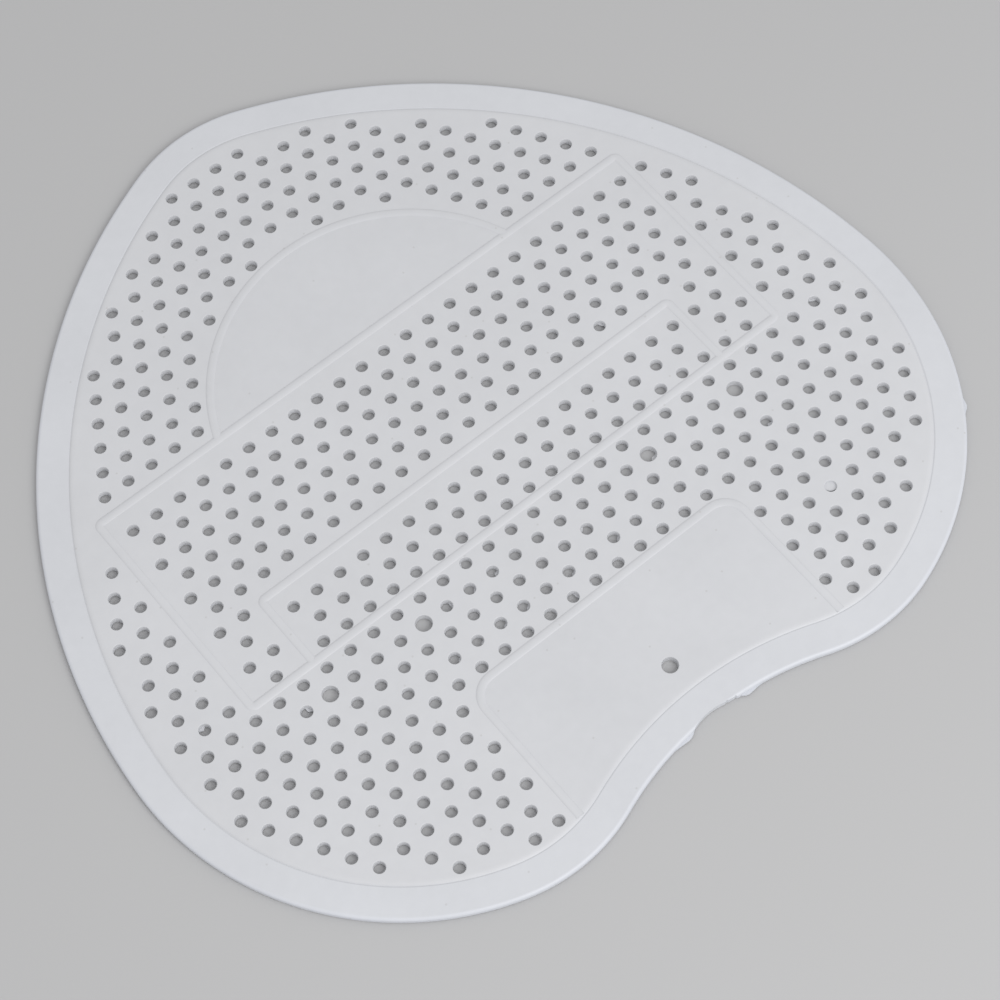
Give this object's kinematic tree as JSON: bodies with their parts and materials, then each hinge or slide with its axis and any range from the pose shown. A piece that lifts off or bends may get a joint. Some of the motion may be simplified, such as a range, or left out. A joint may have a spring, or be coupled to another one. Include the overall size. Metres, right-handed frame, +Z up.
{
  "type": "urinal deodorizer screen",
  "caption": "Thin moulded soft-plastic screen with a notched heart-like outline, a perforated field, low ribs framing pads, and solid areas clear of holes, laid over a urinal waste.",
  "frame": {"origin": "middle of the plate's box, on the flat underside", "axes": "+X along the rows of holes, +Y along the mirror line from the notch to the crown, +Z up out of the ribbed face"},
  "size_m": [0.1902, 0.1794, 0.0018],
  "materials": {
    "vinyl": "satin, slightly cool white, soft moulded"
  },
  "bodies": {
    "root": {"screen": "vinyl"}
  },
  "joints": []
}
